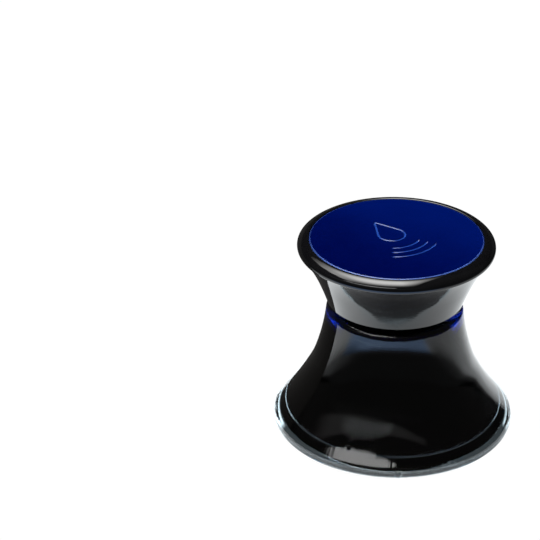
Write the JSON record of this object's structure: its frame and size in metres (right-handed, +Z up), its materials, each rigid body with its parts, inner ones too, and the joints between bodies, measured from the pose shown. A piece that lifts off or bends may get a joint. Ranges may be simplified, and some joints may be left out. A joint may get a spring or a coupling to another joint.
{
  "type": "ink bottle",
  "caption": "Flared clear glass ink bottle filled with dark blue ink, closed by a black spool-shaped screw cap with a glossy blue disc set in its top.",
  "frame": {"origin": "centre of the resting plane, under the bottle's axis", "axes": "+Z up along the axis of the bottle and of the cap's thread; the front, where the heel lug is, faces -Y (the lug stands 0.1 mm to its right)"},
  "size_m": [0.0718, 0.0725, 0.061],
  "materials": {
    "clear_glass": "polished moulded glass, faint green-blue tint at the thick foot",
    "blue_ink": "deep blue liquid, near black in bulk, vivid blue where thin",
    "cap_black": "high gloss black moulding",
    "insert_plastic": "satin black polypropylene",
    "liner_foam": "matte white expanded foam",
    "adhesive": "matte double-sided film",
    "disc_blue": "high gloss blue moulding, engraved"
  },
  "bodies": {
    "bottle": {"glass_bottle": "clear_glass", "ink": "blue_ink"},
    "liner": {"seal_liner": "liner_foam"},
    "cap": {"cap_skirt": "cap_black", "cap_top": "cap_black", "threaded_insert": "insert_plastic", "adhesive_pad": "adhesive", "inlay_disc": "disc_blue"}
  },
  "joints": [
    {"name": "cap_rise", "type": "slide", "parent": "bottle", "child": "liner", "axis": [0, 0, 1], "range_m": [0, 0.0108]},
    {"name": "cap_turn", "type": "hinge", "parent": "liner", "child": "cap", "pos_m": [0, 0, 0.05], "axis": [0, 0, 1], "range_deg": [0, 900]}
  ],
  "couplings": [
    {"joint": "cap_rise", "follows": "cap_turn", "m_per_rad": 0.0006737}
  ]
}
